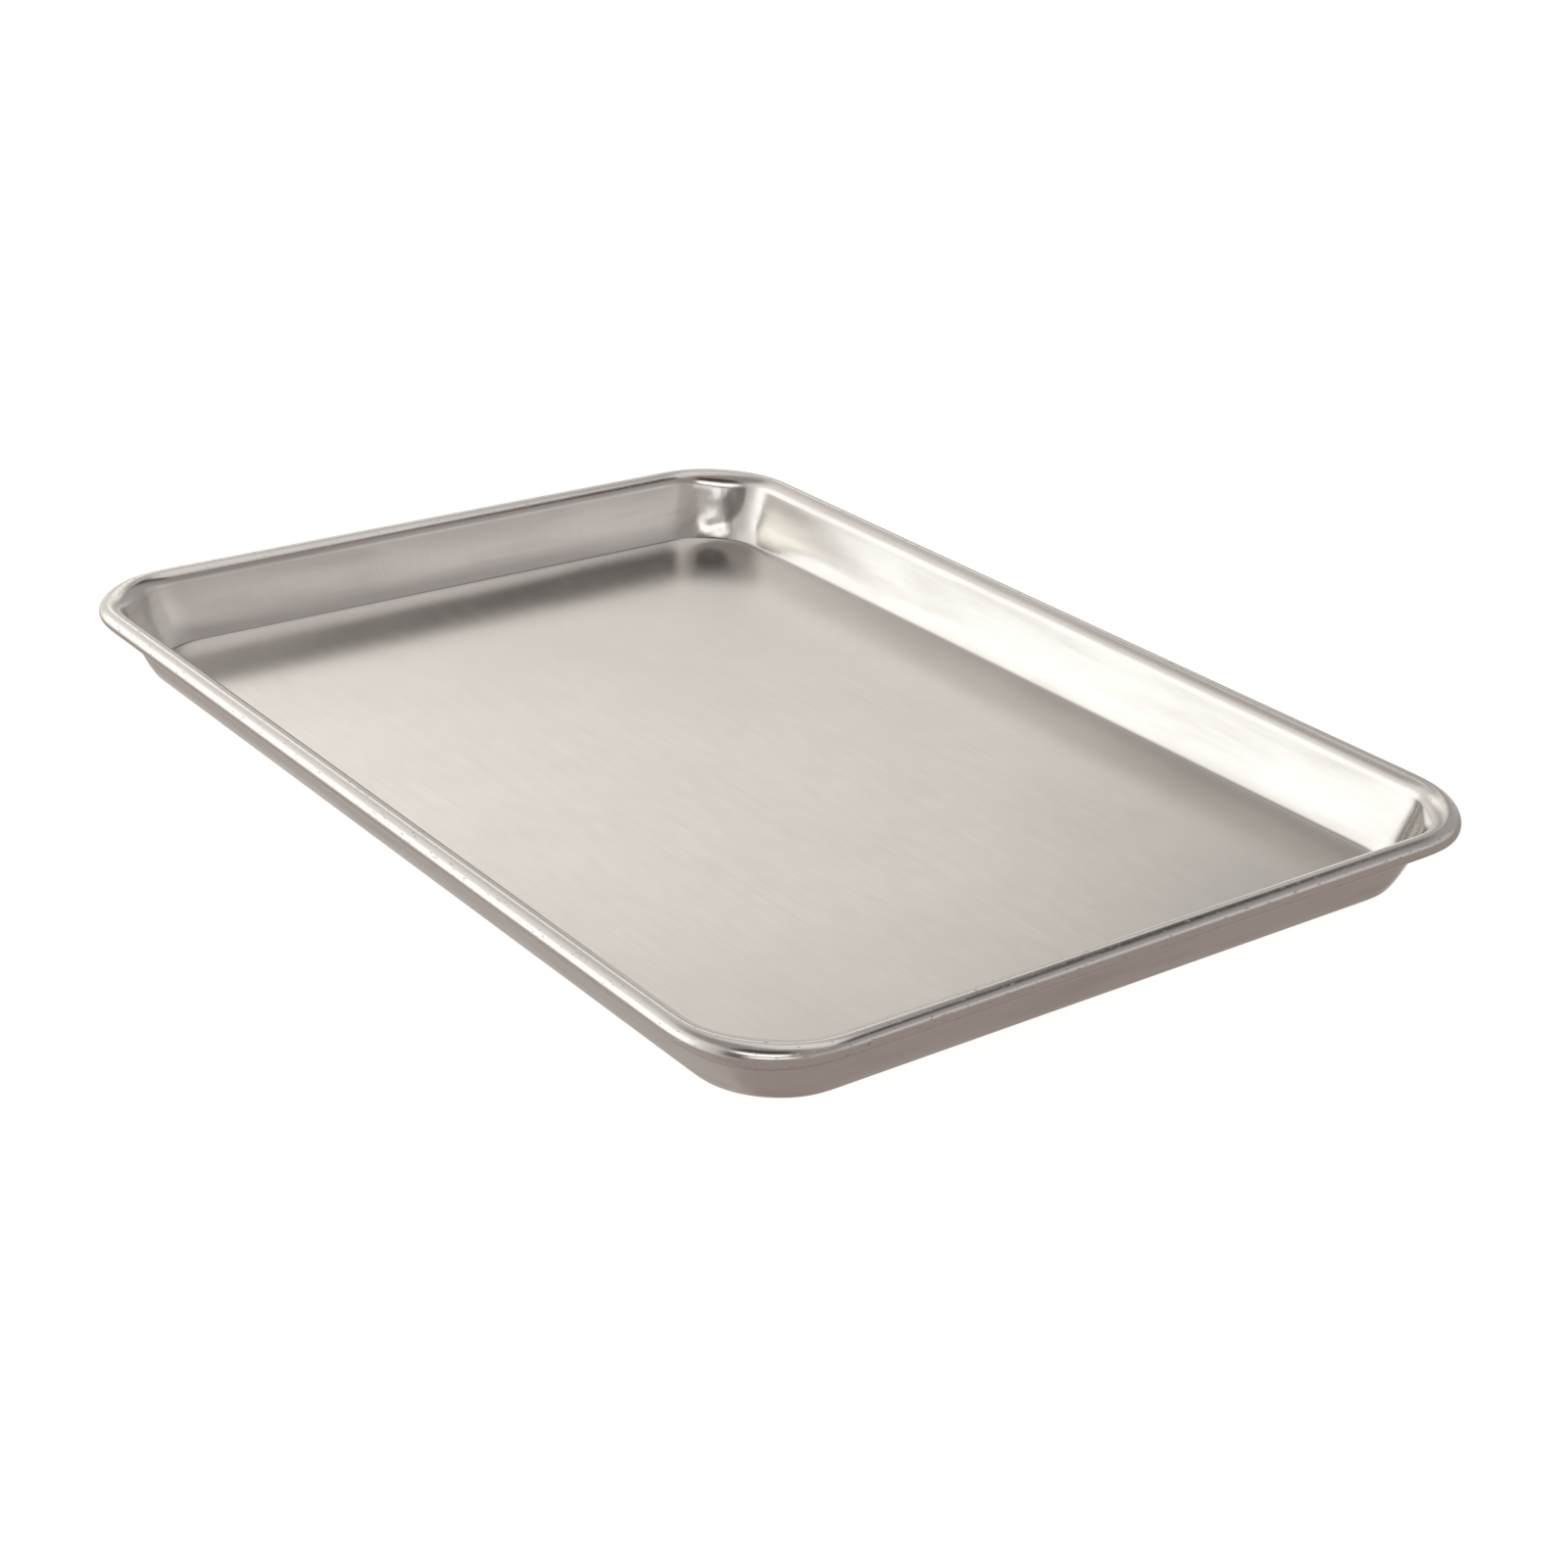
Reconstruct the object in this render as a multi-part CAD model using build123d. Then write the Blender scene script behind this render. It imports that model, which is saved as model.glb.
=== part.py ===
from build123d import *
from math import acos, asin, atan2, cos, degrees, hypot, sin, tan
import os

# A jelly roll pan: a shallow baking tray pressed from one aluminium sheet, whose edge is
# curled outwards round a steel wire. Millimetres. The origin is in the middle of the
# pan's underside, +X runs along its length and +Z is up.

# Driving dimensions of the pan, over everything
pan_length = 400.0
pan_width = 286.0
pan_height = 25.4
rim_corner_radius = 34.0  # the rim's outer edge, seen from above

# The pressed sheet
sheet_thickness = 1.0
wall_run = 15.8  # from the rim's outer edge in to the foot of the wall, seen from above
base_corner_radius = 25.0  # the foot of the wall, seen from above
bend_radius = 2.0  # inside the bend between the floor and the walls
curl_lead_radius = 4.3  # where the wall turns over towards the wire, on the pan's inside
curl_edge_gap = 1.0  # between the curl's cut edge and the wall that it is tucked against

# The wire inside the rim
wire_diameter = 4.2
wire_clearance = 0.1  # between the wire and the sheet that is curled round it
wire_joint_gap = 0.5  # between the wire's two ends

# The curl, worked out from the wire outwards. Up to the rim's top the sheet turns on the
# wider lead radius, and from there on it goes tightly round the wire.
curl_inner_radius = wire_diameter / 2 + wire_clearance
curl_radius = curl_inner_radius + sheet_thickness
lead_inner_radius = curl_lead_radius - sheet_thickness
lead_height = pan_height - curl_lead_radius

# The path that the wire's middle follows, a rectangle with round corners
path_height = pan_height - curl_radius
path_length = pan_length - 2 * curl_radius
path_width = pan_width - 2 * curl_radius
path_corner_radius = rim_corner_radius - curl_radius

# The wall's slope: its outer face runs from the foot up to touch the inside of the lead
foot_run = wall_run - curl_radius
foot_to_lead = hypot(foot_run, lead_height)
wall_slope = atan2(foot_run, lead_height) - asin(lead_inner_radius / foot_to_lead)
wall_breadth = sheet_thickness / cos(wall_slope)  # through the sloping sheet, level

# The curl's turn ends where the cut edge's outer corner stands the gap away from the wall
wire_to_wall = lead_inner_radius - (path_height - lead_height) * sin(wall_slope)
curl_turn = 360 - degrees(acos((wire_to_wall - curl_edge_gap) / curl_radius))


def rounded_outline(level, edge_inset, corner_radius):
    """A rectangle with round corners on a level, drawn inside the pan's outer size."""
    length = pan_length - 2 * edge_inset
    width = pan_width - 2 * edge_inset
    return Plane.XY.offset(level) * RectangleRounded(length, width, corner_radius)


def wall_block(foot_level, inset):
    """The block inside one skin of the wall, from the foot up to the lead's middle.

    The inset is nothing for the wall's outer skin and its level breadth for the inner.
    At the foot the corners are the base's and at the top they are the rim's. Their arcs
    have different centres, so the wall slopes more gently in the corners.
    """
    foot_inset = wall_run - foot_level * tan(wall_slope) + inset
    foot_radius = base_corner_radius + wall_run - foot_inset
    top_inset = wall_run - lead_height * tan(wall_slope) + inset
    top_radius = rim_corner_radius - top_inset
    foot = rounded_outline(foot_level, foot_inset, foot_radius)
    top = rounded_outline(lead_height, top_inset, top_radius)
    return loft([foot, top], ruled=True)


def bent_block(foot_level, inset, radius):
    """A wall block with its lower edge rounded, as the sheet's bend rounds it."""
    block = wall_block(foot_level, inset)
    foot_edges = block.faces().sort_by(Axis.Z)[0].edges()
    return fillet(foot_edges, radius)


def make_dish():
    """Floor, bend and walls up to the lead's middle: the outer block less the inner."""
    outer = bent_block(0, 0, bend_radius + sheet_thickness)
    inner = bent_block(sheet_thickness, wall_breadth, bend_radius)
    return outer - inner


def carried_round(section):
    """A section on the XZ plane, its middle at the origin, carried along the wire's path.

    Each of the four turns has a straight run before it and a quarter turn after it.
    """
    end_run = path_width - 2 * path_corner_radius
    side_run = path_length - 2 * path_corner_radius
    half_runs = {0: end_run / 2, 1: side_run / 2}
    half_sizes = {0: path_length / 2, 1: path_width / 2}
    quarter = revolve(Pos(path_corner_radius, 0, 0) * section, Axis.Z, 90)
    pieces = []
    for side in range(4):
        half_run = half_runs[side % 2]
        outwards = half_sizes[side % 2]
        facing = Pos(0, 0, path_height) * Rot(0, 0, 90 * side)
        straight = extrude(section, amount=half_run, both=True)
        pieces.append(facing * Pos(outwards, 0, 0) * straight)
        pieces.append(facing * Pos(outwards - path_corner_radius, half_run, 0) * quarter)
    return pieces


def curl_section():
    """The curled edge: a short tail of the wall, the lead to the top, the turn round the wire."""
    middle = (0, lead_height - path_height)
    lead_turn = 90 - degrees(wall_slope)
    lead_inner_arc = CenterArc(middle, lead_inner_radius, 90 + lead_turn, -lead_turn)
    lead_outer_arc = CenterArc(middle, curl_lead_radius, 90 + lead_turn, -lead_turn)
    inner_arc = CenterArc((0, 0), curl_inner_radius, 90, lead_turn - curl_turn)
    outer_arc = CenterArc((0, 0), curl_radius, 90, lead_turn - curl_turn)
    tail_outside = (-lead_inner_radius / cos(wall_slope), middle[1])
    tail_inside = (-curl_lead_radius / cos(wall_slope), middle[1])
    outline = [
        Line(tail_outside, lead_inner_arc @ 0),
        lead_inner_arc,
        inner_arc,
        Line(inner_arc @ 1, outer_arc @ 1),
        outer_arc,
        lead_outer_arc,
        Line(lead_outer_arc @ 0, tail_inside),
        Line(tail_inside, tail_outside),
    ]
    return Plane.XZ * make_face(outline)


def make_pan_body():
    """The one pressed sheet: the dish, with the curl standing on its walls."""
    body = make_dish()
    for piece in carried_round(curl_section()):
        body = body + piece
    return body


def make_rim_wire():
    """The wire in the curl, cut through once in the middle of a long side."""
    first, *others = carried_round(Plane.XZ * Circle(wire_diameter / 2))
    wire = first
    for piece in others:
        wire = wire + piece
    cut = Box(wire_joint_gap, 2 * wire_diameter, 2 * wire_diameter)
    return wire - Pos(0, path_width / 2, path_height) * cut


os.makedirs("parts", exist_ok=True)
nodes = {"pan_body": make_pan_body(), "rim_wire": make_rim_wire()}
for name, shape in nodes.items():
    export_step(shape, f"parts/{name}.step")
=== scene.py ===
import bpy
import numpy as np
from mathutils import Matrix, Vector


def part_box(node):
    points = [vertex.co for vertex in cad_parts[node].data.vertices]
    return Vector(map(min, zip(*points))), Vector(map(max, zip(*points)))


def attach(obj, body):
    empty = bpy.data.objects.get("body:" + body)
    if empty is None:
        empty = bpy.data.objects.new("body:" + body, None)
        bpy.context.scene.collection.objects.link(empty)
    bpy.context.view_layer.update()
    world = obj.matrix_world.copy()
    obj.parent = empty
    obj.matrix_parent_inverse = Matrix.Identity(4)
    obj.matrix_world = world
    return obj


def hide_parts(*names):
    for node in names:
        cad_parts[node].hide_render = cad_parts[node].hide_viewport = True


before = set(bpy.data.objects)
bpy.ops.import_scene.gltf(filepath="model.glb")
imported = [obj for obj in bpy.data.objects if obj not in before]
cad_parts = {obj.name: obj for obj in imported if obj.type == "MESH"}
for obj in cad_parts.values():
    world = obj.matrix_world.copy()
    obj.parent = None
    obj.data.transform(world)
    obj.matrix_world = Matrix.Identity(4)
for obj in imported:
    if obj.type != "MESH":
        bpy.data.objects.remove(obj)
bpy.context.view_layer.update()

# The camera stands where the photograph's stood: off the pan's front right corner, a
# little over 0.9 m from its middle, through a short telephoto lens.
camera_azimuth = np.radians(52.29)
camera_elevation = np.radians(24.46)
camera_roll = np.radians(2.36)
camera_distance = 0.9168
camera_aim = Vector((0.0217, 0.0038, 0.0))
camera_lens = 65.22
sensor_width = 36.0

level_reach = np.cos(camera_elevation)
backwards = Vector((
    np.sin(camera_azimuth) * level_reach,
    -np.cos(camera_azimuth) * level_reach,
    np.sin(camera_elevation),
))
level_right = Vector((0.0, 0.0, 1.0)).cross(backwards).normalized()
level_up = backwards.cross(level_right)
camera_right = level_right * np.cos(camera_roll) + level_up * np.sin(camera_roll)
camera_up = backwards.cross(camera_right)

camera_data = bpy.data.cameras.new("studio_camera")
camera_data.lens = camera_lens
camera_data.sensor_width = sensor_width
camera = bpy.data.objects.new("studio_camera", camera_data)
camera.matrix_world = Matrix.Translation(camera_aim + backwards * camera_distance) @ Matrix(
    (camera_right, camera_up, backwards)
).transposed().to_4x4()
bpy.context.scene.collection.objects.link(camera)
bpy.context.scene.camera = camera


# The pan body is one sheet of bare aluminium, pressed in one stroke into floor, walls
# and round corners, with its edge curled over a steel wire.
mm = 0.001
pan_low, pan_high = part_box("pan_body")
pan_size = np.array(pan_high - pan_low)

# These sizes are the source's, but the lead's radius is 1 mm larger and the cut edge's gap
# 0.6 mm larger, because the sheet springs open a little after it is curled.
sheet_thickness = 1.0 * mm
wall_run = 15.8 * mm
rim_corner_radius = 34.0 * mm
base_corner_radius = 25.0 * mm
bend_radius = 2.0 * mm
curl_lead_radius = 5.3 * mm
curl_edge_gap = 1.6 * mm
wire_radius = 2.1 * mm
wire_clearance = 0.1 * mm

# The cut edge was sheared and then rolled, so it bulges a little between its corners.
cut_edge_bulge = 0.15 * mm

# The sheet gathers in the corners. So the curl is fatter there, the wall turns over into
# it more gently, and its cut edge stays farther from the wall.
corner_curl_swell = 0.8 * mm
corner_lead_swell = 2.0 * mm
corner_gap_swell = 1.0 * mm

# A pressed sheet springs back a little: the floor's edge lifts on a toe, and the wall is
# bowed. It runs out flatter in the heel at its foot and in the neck under the rim.
toe_radius = 73.0 * mm
toe_turn = np.radians(6.0)
heel_radius = 40.0 * mm
heel_turn = np.radians(10.0)
neck_radius = 9.0 * mm
neck_turn = np.radians(8.0)
wall_top_lean = np.radians(-5.0)  # against the straight wall of the source
wall_foot_lean = np.radians(-0.5)

wire_inset = wire_radius + wire_clearance + sheet_thickness


def outline_stations(corner_steps, straight_steps):
    """Stations round the pan, counter-clockwise, as a side and a facing for each.

    The side says how far along each half size a station lies, from -1 to 1. The facing is
    the level unit vector that points outwards there. In a corner the side is the corner's
    own and the facing turns a quarter. Along a straight the facing stays and the side
    slides from one corner to the next.
    """
    corners = np.array([(1, 1), (-1, 1), (-1, -1), (1, -1)], float)
    turned = np.linspace(0, 1, corner_steps + 1)[:, None]
    slid = np.linspace(0, 1, straight_steps + 1)[1:-1, None]
    sides, angles = [], []
    for corner in range(4):
        here = corners[corner]
        there = corners[(corner + 1) % 4]
        sides += [here + 0 * turned, here + slid * (there - here)]
        angles += [(corner + turned) * np.pi / 2, (corner + 1 + 0 * slid) * np.pi / 2]
    angle = np.concatenate(angles)
    return np.concatenate(sides), np.hstack([np.cos(angle), np.sin(angle)])


def outline(side, facing, edge_inset, corner_radius):
    """A round-cornered rectangle: side times the straight half size, plus radius times facing."""
    half_size = pan_size[:2] / 2 - edge_inset
    return side * (half_size - corner_radius) + corner_radius * facing


section_steps = (14, 6, 14, 8, 10, 6)  # of lead, neck, wall, heel, bend and toe
side, facing = outline_stations(corner_steps=200, straight_steps=600)
foot_line = outline(side, facing, wall_run, base_corner_radius)
wire_line = outline(side, facing, wire_inset, rim_corner_radius - wire_inset)

# The press tool's outline has no sudden change from straight to round, so the lines are
# averaged over a short way round. Then stations are picked from them, close together in
# the corners and wide apart along the straights.
even_step = 0.5 * mm
easing_steps = 24
corner_step = 1.25 * mm
straight_step = 9.0 * mm
hops = np.linalg.norm(np.roll(wire_line, -1, axis=0) - wire_line, axis=1)
way_round = np.concatenate([[0], np.cumsum(hops)])
even_way = np.arange(0, way_round[-1], even_step)
even_lines = np.stack([
    np.interp(even_way, way_round[:-1], column, period=way_round[-1])
    for column in np.hstack([foot_line, wire_line, facing]).T
])
overlap = even_lines[:, :easing_steps]
running_sum = np.cumsum(np.hstack([0 * even_lines[:, :1], even_lines, overlap]), axis=1)
eased = (running_sum[:, easing_steps:] - running_sum[:, :-easing_steps])[:, :-1] / easing_steps
facing_x, facing_y = eased[4:]
is_turning = np.abs(facing_x * facing_y) > 1e-6
steps_apart = np.where(is_turning, corner_step, straight_step)
stations_so_far = np.cumsum(even_step / steps_apart)
picked = np.searchsorted(stations_so_far, np.arange(0.5, stations_so_far[-1]))
foot_line, wire_line, facing = np.split(eased[:, picked].T, 3, axis=1)
facing = facing / np.linalg.norm(facing, axis=1, keepdims=True)
along = np.stack([-facing[:, 1], facing[:, 0]], axis=1)

# How much of a corner a station is, from 0 on a straight to 1 in a corner's middle.
in_corner = 4 * np.prod(facing, axis=1) ** 2

# No two corners came out of the press alike: how rippled each is, in the order +X +Y,
# -X +Y, +X -Y and -X -Y.
rippled_shares = [0.25, 1.0, 0.7, 0.6]
corner_number = 2 * (facing[:, 1] < 0) + (facing[:, 0] < 0)
corner_unevenness = in_corner * np.take(rippled_shares, corner_number)

# The curl's outermost line stays where it is as the curl swells, and so does its top.
wire_line = wire_line - corner_curl_swell * in_corner[:, None] * facing
curl_radius = wire_inset + corner_curl_swell * in_corner
curl_inner_radius = curl_radius - sheet_thickness
wire_height = pan_size[2] - curl_radius
lead_radius = curl_lead_radius + corner_lead_swell * in_corner
lead_inner_radius = lead_radius - sheet_thickness
lead_height = pan_size[2] - lead_radius

# Seen from above, the way from the foot to the wire is a run outwards and a drift along
# the outline, because the corners' arcs at the foot and at the wire have different middles.
foot_to_wire = wire_line - foot_line
foot_run = (foot_to_wire * facing).sum(1)
foot_drift = (foot_to_wire * along).sum(1)
wall_slope = np.arctan2(foot_run, lead_height) - np.arcsin(
    lead_inner_radius / np.hypot(foot_run, lead_height)
)
steps_round = np.linalg.norm(np.roll(wire_line, -1, axis=0) - wire_line, axis=1)
round_length = steps_round.sum()
round_share = np.concatenate([[0], np.cumsum(steps_round)[:-1]]) / round_length


long_wave_height = 0.15 * mm
ripple_height = 0.09 * mm


def waviness(down_share):
    """The wall's unevenness, a height over the smooth wall for each row and station.

    Long waves run round the whole wall, a sum of sines whose counts are whole numbers. In
    the corners, where the sheet was squeezed together, there are shorter upright ripples.
    Both fade out towards the rim and the foot with the sine of the share of the way down.
    """
    turn = 2 * np.pi * round_share
    long_waves = (
        0.50 * np.sin(9 * turn + 1.0) + 0.30 * np.sin(17 * turn + 3 * down_share)
        + 0.20 * np.sin(31 * turn + 0.7)
    )
    ripples = (
        np.sin(89 * turn + 4 * down_share + 1.0) + 0.8 * np.sin(71 * turn - 11 * down_share)
    )
    return np.sin(np.pi * down_share) * (
        long_wave_height * long_waves + ripple_height * corner_unevenness * ripples
    )


def skin_rows(depth):
    """One skin of the sheet from the rim's top down to the flat floor.

    The depth is nothing for the skin that holds the food, and the sheet's thickness for
    the other. The section is a chain of arcs: lead, neck, bowed wall, heel, bend and toe.
    The tilt is the angle at which the skin looks up. Along an arc of radius R the skin goes
    out by R (cos t0 - cos t) and down by R (sin t0 - sin t), with R below nothing where it
    is hollow. A skin at a depth has every R smaller by it. The wall's own radius is what
    brings the chain down to the floor. Returns out, height and drift.
    """
    under_top = np.full_like(wall_slope, np.pi / 2)
    tilts = [
        under_top,
        wall_slope + wall_top_lean + neck_turn,
        wall_slope + wall_top_lean,
        wall_slope + wall_foot_lean,
        wall_slope + wall_foot_lean + heel_turn,
        under_top - toe_turn,
        under_top,
    ]
    radii = [lead_radius, neck_radius, 0.0, -heel_radius, -bend_radius, -toe_radius]
    falls = [radius * (np.sin(a) - np.sin(b)) for radius, a, b in zip(radii, tilts, tilts[1:])]
    wall_fall = pan_size[2] - sheet_thickness - sum(falls)
    radii[2] = wall_fall / (np.sin(tilts[2]) - np.sin(tilts[3]))
    out = np.zeros((1, len(wall_slope)))
    height = np.full_like(out, pan_size[2] - depth)
    rows = [[out, height, 0 * out + np.pi / 2, 0 * out]]
    for number, (radius, first, last) in enumerate(zip(radii, tilts, tilts[1:])):
        share = np.linspace(0, 1, section_steps[number] + 1)[1:, None]
        tilt = first + share * (last - first)
        out = rows[-1][0][-1] + (radius - depth) * (np.cos(first) - np.cos(tilt))
        height = rows[-1][1][-1] - (radius - depth) * (np.sin(first) - np.sin(tilt))
        down_share = np.clip(share + number - 2, 0, 2) / 2 + 0 * tilt
        rows.append([out, height, tilt, down_share])
    out, height, tilt, down_share = [np.vstack(column) for column in zip(*rows)]
    bump = waviness(down_share)
    outer_height = height - (sheet_thickness - depth) * np.sin(tilt)
    drift = -foot_drift * np.clip(1 - outer_height / lead_height, 0, 1)
    return out - bump * np.cos(tilt), height + bump * np.sin(tilt), drift


def placed(out, height, drift):
    """Points in space: the wire's line plus out times facing plus drift times along."""
    level = wire_line + out[..., None] * facing + drift[..., None] * along
    return np.concatenate([level, height[..., None]], axis=-1)


def curl_rows(arc_steps, edge_steps):
    """The curl from the rim's top: outer arc, bulging cut edge and inner arc back to the top.

    An arc is (R cos a, H + R sin a), where a starts at a quarter turn and falls until the
    edge's outer corner stands the gap away from the wall. On the edge the radius goes
    evenly from one to the other and the angle runs on by a squarish arch of the bulge.
    """
    wire_to_wall = lead_inner_radius - (wire_height - lead_height) * np.sin(wall_slope)
    edge_gap = curl_edge_gap + corner_gap_swell * in_corner
    whole_turn = 2 * np.pi - np.arccos((wire_to_wall - edge_gap) / curl_radius)
    turn_left = whole_turn - (np.pi / 2 - wall_slope)
    fall = np.linspace(0, 1, arc_steps + 1)[1:, None] * turn_left
    across = np.linspace(0, 1, edge_steps + 1)[1:-1, None]
    arch = (1 - (2 * across - 1) ** 4) ** 0.5
    edge_radius = curl_radius + across * (curl_inner_radius - curl_radius)
    radius = np.vstack([
        np.full_like(fall, curl_radius),
        edge_radius + 0 * turn_left,
        np.full_like(fall, curl_inner_radius),
    ])
    turned = np.vstack([fall, turn_left + arch * cut_edge_bulge / edge_radius, fall[::-1]])
    angle = np.pi / 2 - turned
    return radius * np.cos(angle), wire_height + radius * np.sin(angle), 0 * angle


floor_wave_height = 0.12 * mm


def floor_rows(edge, shares):
    """The floor in rings, each the floor's edge drawn in towards the middle by a share.

    The floor isn't quite flat: it rises by a fraction of a millimetre in broad waves, a
    product of sines, which fade out towards its edge.
    """
    rings = np.asarray(shares)[:, None, None] * edge
    x, y = rings[..., 0], rings[..., 1]
    waves = np.sin(x / (31 * mm) + 0.8 + y / (90 * mm)) * np.sin(y / (37 * mm) - 0.5)
    fade = 1 - np.asarray(shares)[:, None] ** 4
    rings[..., 2] = edge[:, 2] + floor_wave_height * fade * (1 + waves)
    return rings


inner_rows = placed(*skin_rows(0.0))[::-1]
outer_rows = placed(*skin_rows(sheet_thickness))
ring_shares = np.linspace(0.04, 0.98, 24)
curl_arc_steps = 44
pan_rows = np.concatenate([
    floor_rows(inner_rows[0], ring_shares),
    inner_rows,
    placed(*curl_rows(curl_arc_steps, edge_steps=6)),
    outer_rows[1:],
    floor_rows(outer_rows[-1], ring_shares[::-1]),
])
floor_middle = [
    floor_rows(edge[:1], [0.0])[0, 0] for edge in (inner_rows[0], outer_rows[-1])
]


def closed_shell(name, rows, first_pole, last_pole):
    """A closed mesh from rows of points that each go round, with a pole at either end.

    Face (i, j) joins rows i and i + 1 between stations j and j + 1. The poles close the
    first and the last row with triangles.
    """
    row_count, station_count, _ = rows.shape
    points = np.concatenate([rows.reshape(-1, 3), [first_pole, last_pole]])
    index = np.arange(row_count * station_count).reshape(row_count, station_count)
    after = np.roll(index, -1, axis=1)
    quads = np.stack([index[:-1], index[1:], after[1:], after[:-1]], axis=-1).reshape(-1, 4)
    first = np.full(station_count, len(points) - 2)
    last = np.full(station_count, len(points) - 1)
    first_fan = np.stack([first, index[0], after[0]], axis=-1)
    last_fan = np.stack([last, after[-1], index[-1]], axis=-1)
    mesh = bpy.data.meshes.new(name)
    mesh.from_pydata(points, [], quads.tolist() + first_fan.tolist() + last_fan.tolist())
    mesh.shade_smooth()
    piece = bpy.data.objects.new(name, mesh)
    bpy.context.scene.collection.objects.link(piece)
    return piece


pan = closed_shell("pan_sheet", pan_rows, floor_middle[0], floor_middle[1])

# The sheet's marks follow it round its bends. So each point also holds its place on the
# sheet as it lay flat before the press, its place round the rim with the way up to it,
# the direction across the sheet's grain, and how much of a wall, rim, corner or crease it
# is. The rows of the second half are the first half's over again, on the sheet's other side.
row_count = len(pan_rows)
row = np.arange(row_count)[:, None]
folded_row = np.minimum(row, row_count - 1 - row)
on_far_side = row > folded_row
toe_row, bend_row, heel_row, wall_row, _, lead_row, top_row = (
    len(ring_shares) + np.cumsum([0, *section_steps[::-1]])
)
far_side_shift = 0.05  # gives the sheet's other side marks of its own

# A crease is the bend round the floor, or the curl's underside, and shade is painted into it. A
# step of the curl turns
# 5.4 degrees, so its painted shade starts 103 degrees from the rim's top and is full at 125.
curl_side_row = top_row + 19
curl_under_row = top_row + 23
strides = np.linalg.norm(np.diff(pan_rows, axis=0), axis=2)
strides[:toe_row] = 0
strides[row_count - 1 - toe_row:] = 0
way_in = np.concatenate([0 * strides[:1], np.cumsum(strides, axis=0)])
way_up = np.where(on_far_side, way_in[-1] - way_in, way_in)
floor_edge = np.where(on_far_side[..., None], outer_rows[-1, :, :2], inner_rows[0, :, :2])
flat_place = np.where(
    folded_row[..., None] < toe_row, pan_rows[..., :2], floor_edge + way_up[..., None] * facing
)
turn_round = 2 * np.pi * round_share
rim_place = round_length / (2 * np.pi) * np.stack([np.cos(turn_round), np.sin(turn_round)], 1)
upwards = np.gradient(pan_rows, axis=0) * np.where(on_far_side, -1, 1)[..., None]
upwards /= np.linalg.norm(upwards, axis=2, keepdims=True)
level_along = np.pad(along, [(0, 0), (0, 1)])
across_grain = along[:, 1:] * level_along + facing[:, 1:] * upwards
across_grain = np.where(folded_row[..., None] < toe_row, [0.0, 1.0, 0.0], across_grain)
everywhere = np.ones_like(way_up)
held_values = {
    "flat_place": np.dstack([flat_place, far_side_shift * on_far_side * everywhere]),
    "rim_place": np.dstack([everywhere[..., None] * rim_place, way_up]),
    "across_grain": across_grain,
    "wall_share": everywhere * np.interp(
        folded_row, [bend_row, heel_row, lead_row, top_row], [0, 1, 1, 0]
    ),
    "rim_share": everywhere * np.interp(folded_row, [lead_row, top_row], [0, 1]),
    "corner_share": corner_unevenness * np.interp(
        folded_row, [toe_row, wall_row, top_row], [0, 1, 0]
    ),
    # Painted shade: this share darkens the bend round the floor and the curl's underside, where
    # shade falls.
    "crease_shade_share": everywhere * np.interp(
        folded_row,
        [bend_row, (bend_row + heel_row) / 2, heel_row, curl_side_row, curl_under_row],
        [0, 0.6, 0, 0, 0.75],
    ),
}
at_the_poles = {"across_grain": (0, 1, 0), "flat_place": (0, 0, 0), "rim_place": (0, 0, 0)}
for name, values in held_values.items():
    poles = np.broadcast_to(at_the_poles.get(name, 0), (2, *values.shape[2:]))
    values = np.concatenate([values.reshape(-1, *values.shape[2:]), poles])
    kind, field = ("FLOAT_VECTOR", "vector") if values.ndim == 2 else ("FLOAT", "value")
    pan.data.attributes.new(name, kind, "POINT").data.foreach_set(field, values.ravel())
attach(pan, "root")
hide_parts("pan_body")


def linear_colour(hex_code):
    """An sRGB hex colour as linear RGBA: ((c + 0.055) / 1.055) to the power 2.4, or c / 12.92."""
    value = np.array([int(hex_code[i:i + 2], 16) for i in (1, 3, 5)]) / 255
    linear = np.where(value > 0.04045, ((value + 0.055) / 1.055) ** 2.4, value / 12.92)
    return (*linear, 1.0)


def add_node(tree, kind, settings, links):
    """Adds a node with its settings and links.

    The settings are its properties, or its inputs' values by name or number. The links
    give the output that feeds each input.
    """
    node = tree.nodes.new(kind)
    for key, value in settings.items():
        if isinstance(key, str) and hasattr(node, key):
            setattr(node, key, value)
        else:
            node.inputs[key].default_value = value
    for key, output in links.items():
        tree.links.new(output, node.inputs[key])
    return node


# Bare aluminium sheet with its mill finish. The eye sees a satin warm grey: fine rolling
# lines along the floor, upright drag marks where the die ironed the walls, and a rim that
# the curling rollers burnished, with lines that run round it. The metal is a little
# rippled in the corners, and shade is painted into the creases as a darker grey.
aluminium = bpy.data.materials.new("bare_rolled_aluminium")
aluminium.use_nodes = True
sheet = aluminium.node_tree
sheet_shader = sheet.nodes["Principled BSDF"]
sheet_shader.inputs["Metallic"].default_value = 1.0
sheet_shader.inputs["Anisotropic"].default_value = 0.6
held = {
    name: add_node(sheet, "ShaderNodeAttribute", {"attribute_name": name}, {}).outputs[
        "Vector" if values.ndim == 3 else "Fac"
    ]
    for name, values in held_values.items()
}
sheet.links.new(held["across_grain"], sheet_shader.inputs["Tangent"])
in_space = add_node(sheet, "ShaderNodeTexCoord", {}, {}).outputs["Object"]


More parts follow.
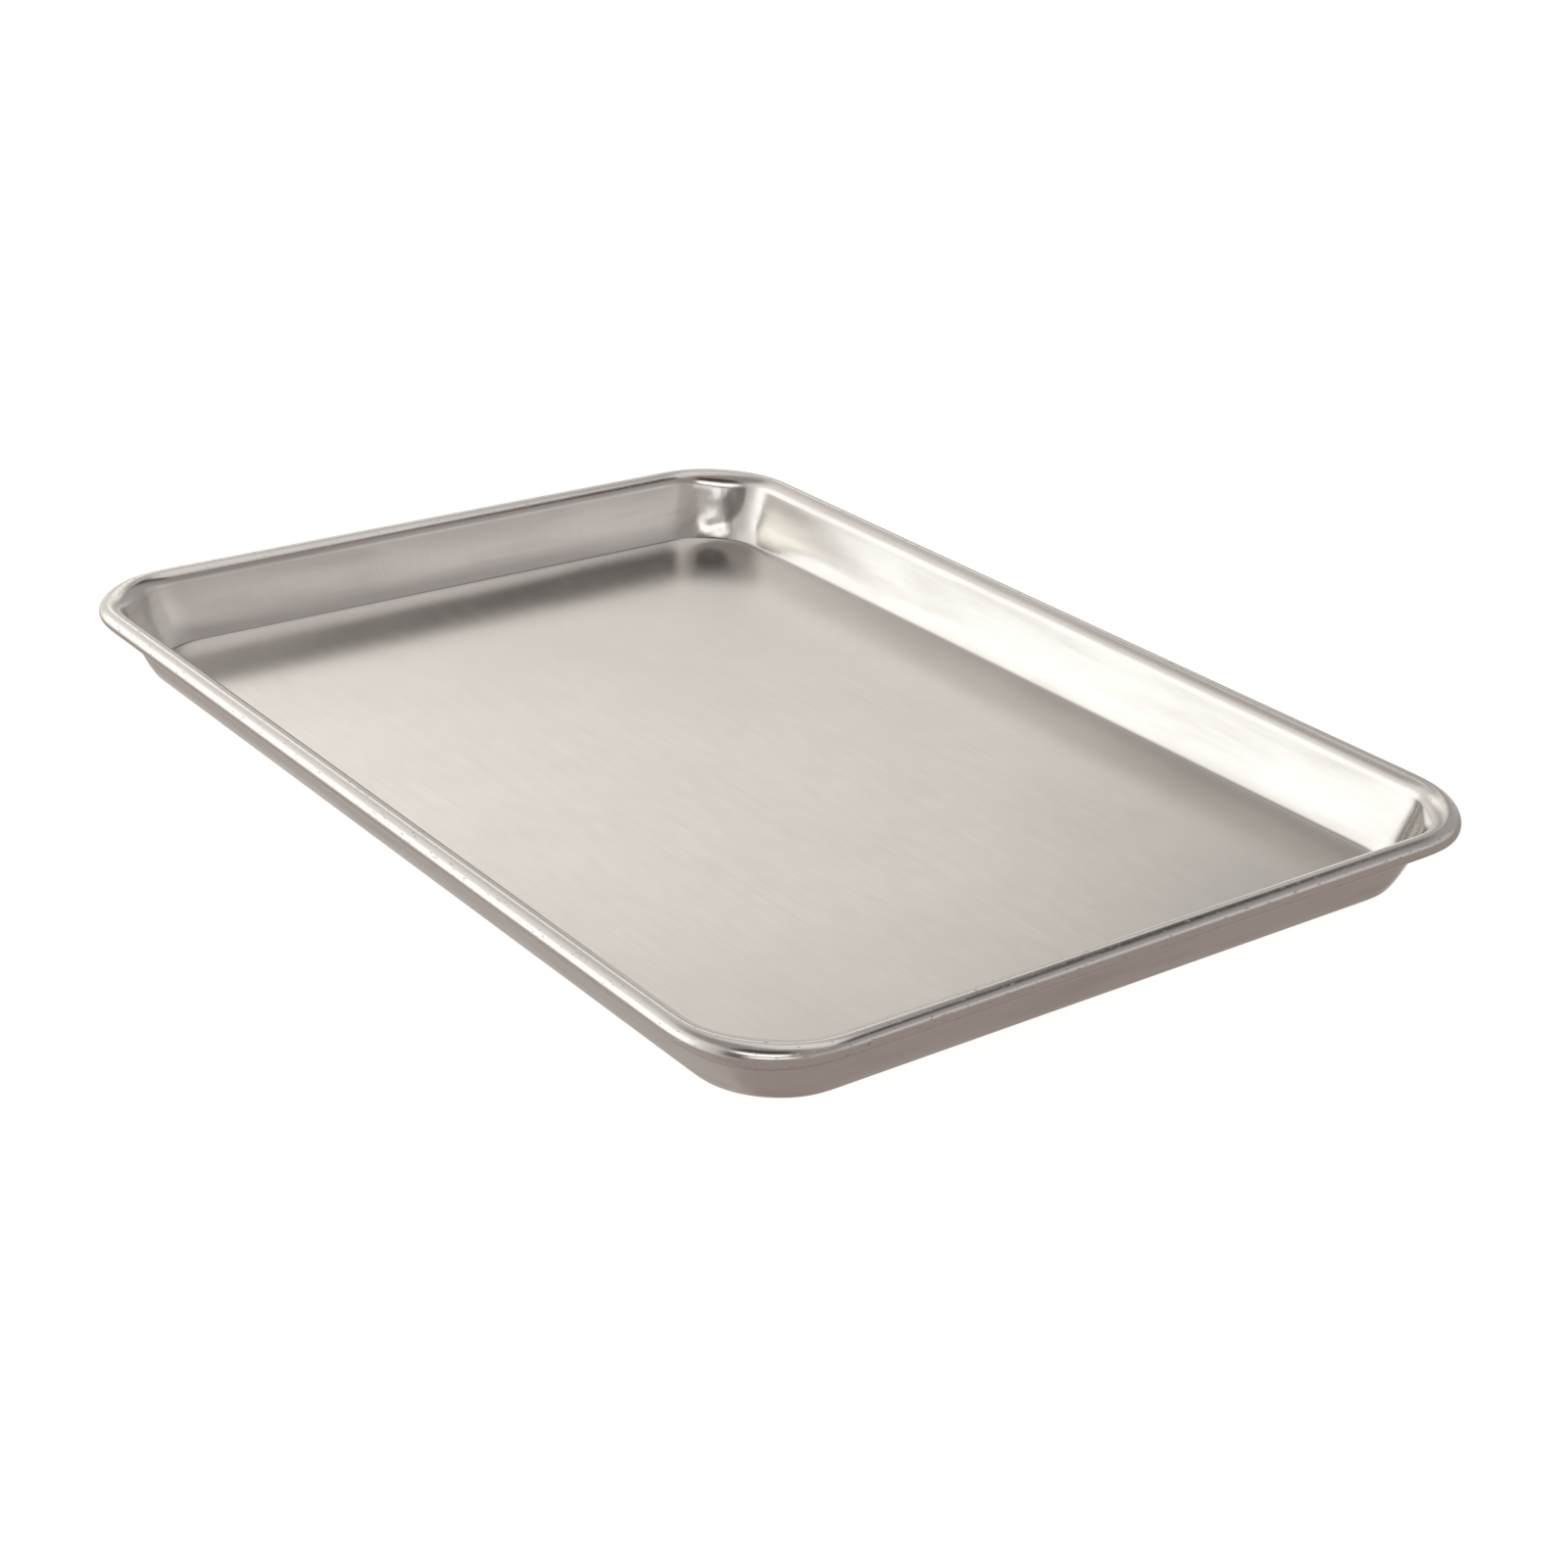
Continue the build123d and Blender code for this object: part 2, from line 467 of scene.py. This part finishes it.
def marks(tree, place, spacing, detail):
    """Cloudy marks from 0 to 1, a spacing in metres apart along each way of a place."""
    scaled = add_node(
        tree, "ShaderNodeVectorMath", {"operation": "DIVIDE", 1: spacing}, {0: place}
    ).outputs[0]
    settings = {"Scale": 1.0, "Detail": detail}
    return add_node(tree, "ShaderNodeTexNoise", settings, {"Vector": scaled}).outputs["Fac"]


# Rolling lines are 0.05 to 0.2 mm apart and drag marks about 0.3 mm. Both are drawn a few
# times coarser, because so fine they wouldn't show at all.
rolling_lines = marks(sheet, held["flat_place"], (60 * mm, 0.9 * mm, 20 * mm), 2.0)
drag_marks = marks(sheet, held["rim_place"], (1.3 * mm, 1.3 * mm, 45 * mm), 2.0)
roller_lines = marks(sheet, held["rim_place"], (40 * mm, 40 * mm, 0.5 * mm), 1.0)
squeeze_ripples = marks(sheet, held["rim_place"], (7 * mm, 7 * mm, 9 * mm), 1.0)
patches = marks(sheet, in_space, (45 * mm, 45 * mm, 45 * mm), 2.0)
clouds = marks(sheet, held["flat_place"], (14 * mm, 5 * mm, 20 * mm), 3.0)

# Nicks from handling lie on the rim where their noise peaks. Each is under 2 mm long, and
# longer round the rim than across it.
nick_noise = marks(sheet, held["rim_place"], (2.2 * mm, 2.2 * mm, 0.7 * mm), 2.0)
nicks = add_node(
    sheet, "ShaderNodeMapRange", {"From Min": 0.65, "From Max": 0.70}, {"Value": nick_noise}
).outputs["Result"]
rim_nicks = add_node(
    sheet, "ShaderNodeMath", {"operation": "MULTIPLY"}, {0: nicks, 1: held["rim_share"]}
).outputs[0]

# Handling leaves faint smears on the walls, drawn out along them.
smear_noise = marks(sheet, held["rim_place"], (48 * mm, 48 * mm, 7 * mm), 2.0)
smears = add_node(
    sheet, "ShaderNodeMapRange", {"From Min": 0.48, "From Max": 0.70}, {"Value": smear_noise}
).outputs["Result"]
wall_smears = add_node(
    sheet, "ShaderNodeMath", {"operation": "MULTIPLY"}, {0: smears, 1: held["wall_share"]}
).outputs[0]

height = None
for pattern, share, depth in (
    (rolling_lines, None, 0.004 * mm),
    (drag_marks, held["wall_share"], 0.012 * mm),
    (roller_lines, held["rim_share"], 0.006 * mm),
    (squeeze_ripples, held["corner_share"], 0.25 * mm),
    (rim_nicks, None, -0.05 * mm),
):
    shown = pattern if share is None else add_node(
        sheet, "ShaderNodeMath", {"operation": "MULTIPLY"}, {0: pattern, 1: share}
    ).outputs[0]
    height = add_node(
        sheet,
        "ShaderNodeMath",
        {"operation": "MULTIPLY_ADD", 1: depth, 2: 0.0},
        {0: shown} if height is None else {0: shown, 2: height},
    ).outputs[0]
bump = add_node(
    sheet, "ShaderNodeBump", {"Strength": 1.0, "Distance": 1.0}, {"Height": height}
)
sheet.links.new(bump.outputs["Normal"], sheet_shader.inputs["Normal"])

# The lines and the clouds add 0.06 on average to the floor's least roughness.
least_roughness = 0.16
roughness = None
for pattern, change in (
    (held["wall_share"], -0.06),
    (held["rim_share"], -0.08),
    (rolling_lines, 0.06),
    (clouds, 0.06),
    (held["crease_shade_share"], 0.08),
):
    roughness = add_node(
        sheet,
        "ShaderNodeMath",
        {"operation": "MULTIPLY_ADD", 1: change, 2: least_roughness},
        {0: pattern} if roughness is None else {0: pattern, 2: roughness},
    ).outputs[0]
sheet.links.new(roughness, sheet_shader.inputs["Roughness"])

clean_metal = linear_colour("#EAE8E4")
colour = None
for pattern, share, hex_code in (
    (patches, 0.6, "#D8D6D1"),
    (rolling_lines, 0.14, "#D8D5D1"),
    # Painted shade: the creases are mixed towards a darker grey.
    (held["crease_shade_share"], 0.55, "#8E8A86"),
    (rim_nicks, 0.3, "#77736F"),
    (wall_smears, 0.18, "#A7A09A"),
):
    share = add_node(
        sheet, "ShaderNodeMath", {"operation": "MULTIPLY", 1: share}, {0: pattern}
    ).outputs[0]
    settings = {"data_type": "RGBA", 6: clean_metal, 7: linear_colour(hex_code)}
    links = {0: share} if colour is None else {0: share, 6: colour}
    colour = add_node(sheet, "ShaderNodeMix", settings, links).outputs[2]
sheet.links.new(colour, sheet_shader.inputs["Base Color"])
pan.data.materials.append(aluminium)


# The rim wire is one length of galvanised steel wire, bent to the rim's outline, with a
# butt joint in the middle of a long side. The sheet is curled round it, so only a sliver
# of it shows from under the rim.
wire_joint_gap = 0.5 * mm


def wire_rows(sides):
    """The wire as rings on its line, from one end of its butt joint round to the other.

    A ring is the line plus R (cos a) times facing and R (sin a) upwards. The line starts
    and stops half the gap to either side of the middle of the back.
    """
    angle = np.linspace(0, 2 * np.pi, sides, endpoint=False)[:, None] + 0 * wall_slope
    out = wire_radius * np.cos(angle)
    height = wire_height + wire_radius * np.sin(angle)
    rings = placed(out, height, 0 * angle).transpose(1, 0, 2)
    middle = int(np.argmin(np.linalg.norm(wire_line - [0, wire_line[:, 1].max()], axis=1)))
    order = np.concatenate([np.arange(middle, len(rings)), np.arange(middle + 1)])
    rings = rings[order]
    rings[0, :, 0] = -wire_joint_gap / 2
    rings[-1, :, 0] = wire_joint_gap / 2
    return rings


wire_rings = wire_rows(24)
wire = closed_shell("rim_wire_steel", wire_rings, wire_rings[0].mean(0), wire_rings[-1].mean(0))
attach(wire, "root")
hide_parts("rim_wire")


# Drawn steel wire with a dull zinc coating: cool grey, spangled with flat crystals a
# millimetre or two across, with fine drawing lines along it.
zinc = bpy.data.materials.new("galvanised_steel_wire")
zinc.use_nodes = True
coating = zinc.node_tree
zinc_shader = coating.nodes["Principled BSDF"]
zinc_shader.inputs["Metallic"].default_value = 1.0
wire_place = add_node(coating, "ShaderNodeTexCoord", {}, {}).outputs["Object"]
spangle = add_node(
    coating, "ShaderNodeTexVoronoi", {"Scale": 1 / (1.6 * mm)}, {"Vector": wire_place}
).outputs["Color"]
crystal = add_node(coating, "ShaderNodeSeparateColor", {}, {0: spangle}).outputs[0]
dullness = marks(coating, wire_place, (4 * mm, 4 * mm, 4 * mm), 3.0)
zinc_colour = add_node(
    coating,
    "ShaderNodeMix",
    {"data_type": "RGBA", 6: linear_colour("#A9ACB0"), 7: linear_colour("#C3C6C9")},
    {0: crystal},
).outputs[2]
coating.links.new(zinc_colour, zinc_shader.inputs["Base Color"])
zinc_roughness = add_node(
    coating, "ShaderNodeMapRange", {"To Min": 0.36, "To Max": 0.56}, {"Value": dullness}
).outputs["Result"]
coating.links.new(zinc_roughness, zinc_shader.inputs["Roughness"])
drawn_bump = add_node(
    coating, "ShaderNodeBump", {"Strength": 0.4, "Distance": 0.02 * mm}, {"Height": dullness}
)
coating.links.new(drawn_bump.outputs["Normal"], zinc_shader.inputs["Normal"])
wire.data.materials.append(zinc)

# The studio round the pan is a ring of big soft panels, which the metal mirrors. A panel
# is told by where it stands as seen from the pan: azimuth from +X towards +Y, elevation
# above the table, both in degrees. Its colour is told as a tint, whose green is 1. The
# last panel stands for the light that the white table throws up at the near long side.
bpy.context.scene.view_settings.view_transform = "Standard"
panels = [
    # azimuth, half breadth, side softness, lowest, highest, end softness, brightness, tint
    (-133, 26, 17, -13, 25, 10, 0.56, (0.95, 1, 1.02)),
    (-141, 50, 35, -18, 49, 12, 0.56, (1.02, 1, 0.97)),
    (-37, 14, 10, 12, 19, 3, 1.65, (1.00, 1, 1.00)),
    (-45, 20, 10, 29, 43, 6, 1.50, (1.02, 1, 0.97)),
    (80, 48, 12, 2, 38, 6, 0.09, (0.97, 1, 1.08)),
    (32, 52, 6, 3, 25, 5, 0.13, (1.07, 1, 0.94)),
    (37, 14, 6, 12, 18, 3, 0.16, (1.07, 1, 0.94)),
    (150.5, 16.5, 7, 20, 31, 5, 0.67, (1.03, 1, 0.93)),
    (142, 25, 15, -39, 12, 8, 0.29, (0.98, 1, 0.95)),
    (143, 14, 7, 38, 58, 6, 0.28, (1.03, 1, 0.98)),
    (-173, 62, 40, -80, -30, 8, 0.12, (0.98, 1, 1.04)),
]
overhead_brightness = 0.50
overhead_tint = (1.03, 1.0, 1.02)

world = bpy.data.worlds.new("studio_panels")
bpy.context.scene.world = world
world.use_nodes = True
sky = world.node_tree
direction = add_node(sky, "ShaderNodeTexCoord", {}, {}).outputs["Generated"]
flattened = add_node(
    sky, "ShaderNodeVectorMath", {"operation": "MULTIPLY", 1: (1, 1, 0)}, {0: direction}
).outputs[0]
level = add_node(
    sky, "ShaderNodeVectorMath", {"operation": "NORMALIZE"}, {0: flattened}
).outputs[0]
parts = add_node(sky, "ShaderNodeSeparateXYZ", {}, {0: direction}).outputs


def past_edge(measure, start, end, light):
    """What a soft edge lets past of a light: none of it at start, all of it at end."""
    settings = {"interpolation_type": "SMOOTHSTEP", "From Min": start, "From Max": end}
    links = {"Value": measure}
    (settings if isinstance(light, float) else links)["To Max"] = light
    return add_node(sky, "ShaderNodeMapRange", settings, links).outputs["Result"]


def past_sides(azimuth, half_breadth, softness, light):
    """What is let past within a breadth to both sides of an azimuth, by the angle's cosine."""
    towards = (np.cos(np.radians(azimuth)), np.sin(np.radians(azimuth)), 0)
    cosine = add_node(
        sky, "ShaderNodeVectorMath", {"operation": "DOT_PRODUCT", 1: towards}, {0: level}
    ).outputs["Value"]
    start, end = np.cos(np.radians([half_breadth + softness, half_breadth - softness]))
    return past_edge(cosine, start, end, light)


lights = []
for azimuth, breadth, side_softness, lowest, highest, end_softness, brightness, tint in panels:
    below = np.sin(np.radians([lowest - end_softness, lowest + end_softness]))
    above = np.sin(np.radians([highest + end_softness, highest - end_softness]))
    light = past_sides(azimuth, breadth, side_softness, brightness)
    light = past_edge(parts["Z"], *below, light)
    lights.append((past_edge(parts["Z"], *above, light), tint))

# One more panel hangs overhead.
overhead_panel = past_sides(101, 60, 40, overhead_brightness)
overhead_panel = past_edge(parts["Z"], *np.sin(np.radians([48, 62])), overhead_panel)
lights.append((overhead_panel, overhead_tint))

# Between it and the panels behind the pan the unlit ceiling is a straight dark gap, turned
# a little from the line of the pan's long sides. Its edges are told by their slant, the
# angle at which one looks up to them across the gap.
gap_turn = np.radians(20)
gap_darkness = 0.88
across_gap = (np.sin(gap_turn), np.cos(gap_turn), 0)
out_across_gap = add_node(
    sky, "ShaderNodeVectorMath", {"operation": "DOT_PRODUCT", 1: across_gap}, {0: direction}
).outputs["Value"]
slant = add_node(
    sky, "ShaderNodeMath", {"operation": "ARCTAN2"}, {0: parts["Z"], 1: out_across_gap}
).outputs[0]
gap = past_edge(slant, *np.radians([44, 52]), gap_darkness)
gap = past_edge(slant, *np.radians([61.5, 54.5]), gap)
gap = past_sides(84, 37, 9, gap)

# The camera's own side has two dark places: the ceiling over the camera, and the space
# between two panels low down beside it.
corner_gap_darkness = 0.8
corner_gap = past_edge(parts["Z"], *np.sin(np.radians([45, 52])), corner_gap_darkness)
corner_gap = past_edge(parts["Z"], *np.sin(np.radians([76, 68])), corner_gap)
corner_gap = past_sides(-45, 32, 10, corner_gap)
low_gap_darkness = 0.6
low_gap = past_edge(parts["Z"], *np.sin(np.radians([-8, 2])), low_gap_darkness)
low_gap = past_edge(parts["Z"], *np.sin(np.radians([36, 28])), low_gap)
low_gap = past_sides(-67, 8, 4, low_gap)

# What is left of the studio gives a dim light all round. From below the table's level it
# is warm, and from above nearly neutral.
ambient_below = (0.352, 0.302, 0.277, 1)
ambient_above = (0.325, 0.298, 0.290, 1)
upper_share = past_edge(parts["Z"], -0.15, 0.1, 1.0)
lit = add_node(
    sky,
    "ShaderNodeMix",
    {"data_type": "RGBA", 6: ambient_below, 7: ambient_above},
    {0: upper_share},
).outputs[2]
for light, tint in lights:
    lit = add_node(
        sky, "ShaderNodeVectorMath", {"operation": "MULTIPLY_ADD", 1: tint}, {0: light, 2: lit}
    ).outputs[0]
all_gaps = gap
for another in (corner_gap, low_gap):
    all_gaps = add_node(
        sky, "ShaderNodeMath", {"operation": "MAXIMUM"}, {0: all_gaps, 1: another}
    ).outputs[0]
unshaded = add_node(
    sky, "ShaderNodeMath", {"operation": "SUBTRACT", 0: 1.0}, {1: all_gaps}
).outputs[0]
mirrored = sky.nodes["Background"]
sky.links.new(lit, mirrored.inputs["Color"])
sky.links.new(unshaded, mirrored.inputs["Strength"])

# Behind the table the camera sees a plain white backdrop, not the panels.
backdrop = add_node(
    sky, "ShaderNodeBackground", {"Color": linear_colour("#FCFCFC"), "Strength": 1.0}, {}
)
seen = add_node(sky, "ShaderNodeLightPath", {}, {}).outputs["Is Camera Ray"]
mixed = add_node(
    sky, "ShaderNodeMixShader", {}, {0: seen, 1: mirrored.outputs[0], 2: backdrop.outputs[0]}
)
sky.links.new(mixed.outputs[0], sky.nodes["World Output"].inputs["Surface"])

# A softbox right above gives the pan its faint shadow on the table. The metal doesn't
# mirror it, because the panels already stand for what it mirrors.
overhead_data = bpy.data.lights.new("overhead_softbox", "AREA")
overhead_data.shape = "SQUARE"
overhead_data.size = 3.0
overhead_data.energy = 16
overhead = bpy.data.objects.new("overhead_softbox", overhead_data)
overhead.location = (0, 0, 2.5)
overhead.visible_glossy = False
bpy.context.scene.collection.objects.link(overhead)

# The table is a sheet of white acrylic that glows, as a product photographer's light table
# does, so that shadows on it stay faint. The metal doesn't mirror it either, but sees the
# warm light from below in its place.
table_reach = 20.0
table_mesh = bpy.data.meshes.new("table")
table_corners = [(-1, -1, 0), (1, -1, 0), (1, 1, 0), (-1, 1, 0)]
table_mesh.from_pydata(np.array(table_corners) * table_reach, [], [(0, 1, 2, 3)])
table = bpy.data.objects.new("table", table_mesh)
table.visible_glossy = False
bpy.context.scene.collection.objects.link(table)
acrylic = bpy.data.materials.new("lit_white_acrylic")
acrylic.use_nodes = True
glow = acrylic.node_tree.nodes["Principled BSDF"]
glow.inputs["Base Color"].default_value = linear_colour("#8A8A8A")
glow.inputs["Roughness"].default_value = 0.9
glow.inputs["Specular IOR Level"].default_value = 0.0
glow.inputs["Emission Color"].default_value = (1, 1, 1, 1)
glow.inputs["Emission Strength"].default_value = 0.93
table_mesh.materials.append(acrylic)
